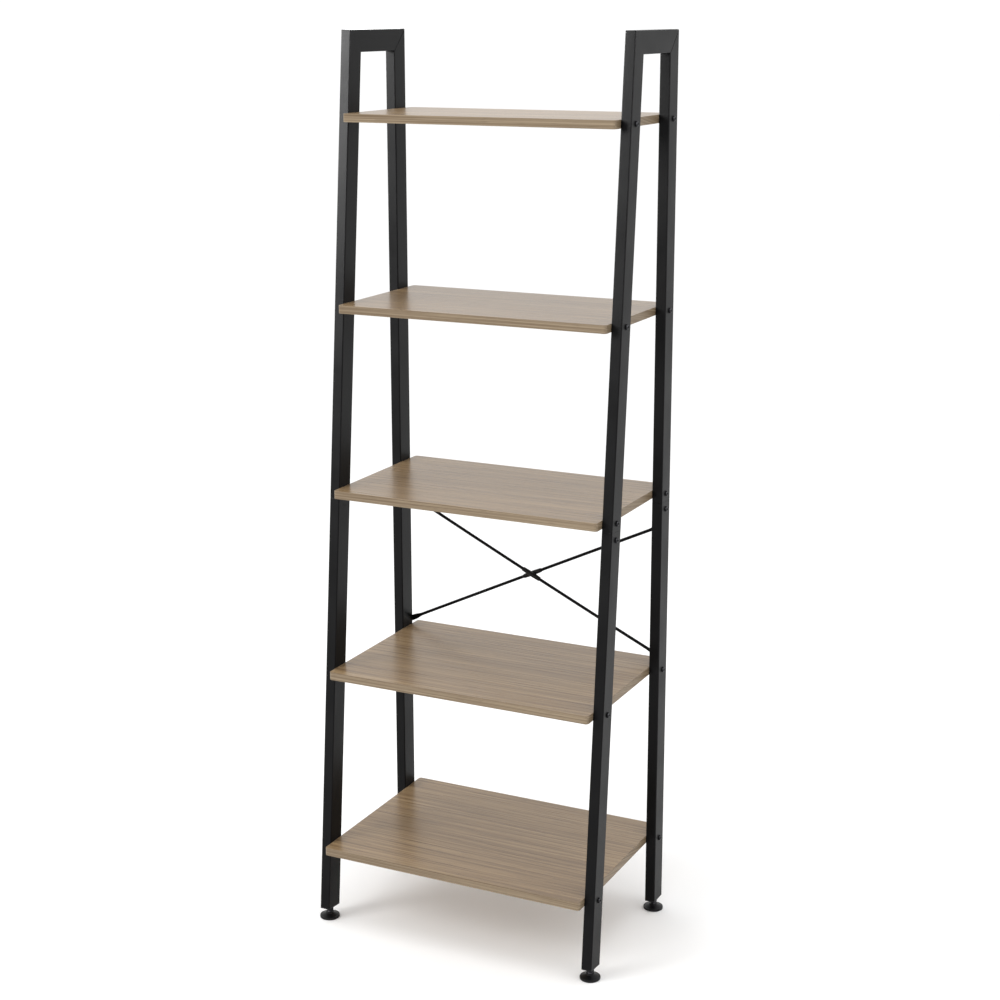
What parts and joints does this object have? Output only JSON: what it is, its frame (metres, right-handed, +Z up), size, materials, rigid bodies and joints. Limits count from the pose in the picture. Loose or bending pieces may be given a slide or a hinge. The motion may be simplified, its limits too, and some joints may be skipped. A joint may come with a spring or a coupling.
{
  "type": "ladder shelf",
  "caption": "Free-standing ladder shelf: steel tube side frames, upright behind and leaning back in front, wood-grain boards deeper lower down, a crossed rear brace and levelling feet.",
  "frame": {"origin": "centre of the bounding box on the floor, under the feet", "axes": "+X to the viewer's right across the width, +Y from the leaning front to the upright rear, +Z up"},
  "size_m": [0.588, 0.38, 1.675],
  "materials": {
    "powder_coated_steel": "matt black fine-texture powder coat",
    "wood_grain_board": "melamine laminate with a straight ash grain, satin",
    "edge_band": "edge banding in the grain colour, satin",
    "zinc_plated_steel": "bright zinc plate",
    "foot_stud_steel": "black zinc, dull",
    "foot_plastic": "moulded black ABS, fine spark-eroded texture",
    "clip_plastic": "moulded black nylon",
    "black_screw_steel": "black oxide, semi-matt",
    "bare_sleeve_steel": "mill finish"
  },
  "bodies": {
    "frame": {"brace_cross_clip": "clip_plastic", "brace_rivet_nuts": "zinc_plated_steel", "brace_rod_left_high": "powder_coated_steel", "brace_rod_right_high": "powder_coated_steel", "brace_screws": "black_screw_steel", "left_front_foot_nut": "zinc_plated_steel", "left_front_foot_plug": "foot_plastic", "left_front_joint_sleeve": "bare_sleeve_steel", "left_front_lower_post": "powder_coated_steel", "left_front_upper_post": "powder_coated_steel", "left_rear_foot_nut": "zinc_plated_steel", "left_rear_foot_plug": "foot_plastic", "left_rear_joint_sleeve": "bare_sleeve_steel", "left_rear_lower_post": "powder_coated_steel", "left_rear_upper_post": "powder_coated_steel", "left_top_rail": "powder_coated_steel", "post_joint_screws": "black_screw_steel", "right_front_foot_nut": "zinc_plated_steel", "right_front_foot_plug": "foot_plastic", "right_front_joint_sleeve": "bare_sleeve_steel", "right_front_lower_post": "powder_coated_steel", "right_front_upper_post": "powder_coated_steel", "right_rear_foot_nut": "zinc_plated_steel", "right_rear_foot_plug": "foot_plastic", "right_rear_joint_sleeve": "bare_sleeve_steel", "right_rear_lower_post": "powder_coated_steel", "right_rear_upper_post": "powder_coated_steel", "right_top_rail": "powder_coated_steel", "shelf_1_board": "wood_grain_board", "shelf_1_edge_band": "edge_band", "shelf_1_inserts": "zinc_plated_steel", "shelf_1_screws": "black_screw_steel", "shelf_2_board": "wood_grain_board", "shelf_2_edge_band": "edge_band", "shelf_2_inserts": "zinc_plated_steel", "shelf_2_screws": "black_screw_steel", "shelf_3_board": "wood_grain_board", "shelf_3_edge_band": "edge_band", "shelf_3_inserts": "zinc_plated_steel", "shelf_3_screws": "black_screw_steel", "shelf_4_board": "wood_grain_board", "shelf_4_edge_band": "edge_band", "shelf_4_inserts": "zinc_plated_steel", "shelf_4_screws": "black_screw_steel", "shelf_5_board": "wood_grain_board", "shelf_5_edge_band": "edge_band", "shelf_5_inserts": "zinc_plated_steel", "shelf_5_screws": "black_screw_steel"},
    "left_front_pad": {"left_front_foot_pad": "foot_plastic"},
    "left_front_stud": {"left_front_foot_stud": "foot_stud_steel"},
    "left_rear_pad": {"left_rear_foot_pad": "foot_plastic"},
    "left_rear_stud": {"left_rear_foot_stud": "foot_stud_steel"},
    "right_front_pad": {"right_front_foot_pad": "foot_plastic"},
    "right_front_stud": {"right_front_foot_stud": "foot_stud_steel"},
    "right_rear_pad": {"right_rear_foot_pad": "foot_plastic"},
    "right_rear_stud": {"right_rear_foot_stud": "foot_stud_steel"}
  },
  "joints": [
    {"name": "left_front_foot_height", "type": "slide", "parent": "frame", "child": "left_front_pad", "axis": [0, -0.0889, -0.996], "range_m": [-0.00187, 0.01125]},
    {"name": "left_front_stud_turn", "type": "hinge", "parent": "left_front_pad", "child": "left_front_stud", "pos_m": [-0.275, -0.16065, 0.0078], "axis": [0, -0.0889, -0.996], "range_deg": [-541, 3241]},
    {"name": "left_rear_foot_height", "type": "slide", "parent": "frame", "child": "left_rear_pad", "axis": [0, 0, -1], "range_m": [-0.00187, 0.01125]},
    {"name": "left_rear_stud_turn", "type": "hinge", "parent": "left_rear_pad", "child": "left_rear_stud", "pos_m": [-0.275, 0.148, 0.0078], "axis": [0, 0, -1], "range_deg": [-541, 3241]},
    {"name": "right_front_foot_height", "type": "slide", "parent": "frame", "child": "right_front_pad", "axis": [0, -0.0889, -0.996], "range_m": [-0.00187, 0.01125]},
    {"name": "right_front_stud_turn", "type": "hinge", "parent": "right_front_pad", "child": "right_front_stud", "pos_m": [0.275, -0.16065, 0.0078], "axis": [0, -0.0889, -0.996], "range_deg": [-541, 3241]},
    {"name": "right_rear_foot_height", "type": "slide", "parent": "frame", "child": "right_rear_pad", "axis": [0, 0, -1], "range_m": [-0.00187, 0.01125]},
    {"name": "right_rear_stud_turn", "type": "hinge", "parent": "right_rear_pad", "child": "right_rear_stud", "pos_m": [0.275, 0.148, 0.0078], "axis": [0, 0, -1], "range_deg": [-541, 3241]}
  ],
  "couplings": [
    {"joint": "left_front_stud_turn", "follows": "left_front_foot_height", "rad_per_m": 5026.5},
    {"joint": "left_rear_stud_turn", "follows": "left_rear_foot_height", "rad_per_m": 5026.5},
    {"joint": "right_front_stud_turn", "follows": "right_front_foot_height", "rad_per_m": 5026.5},
    {"joint": "right_rear_stud_turn", "follows": "right_rear_foot_height", "rad_per_m": 5026.5}
  ]
}
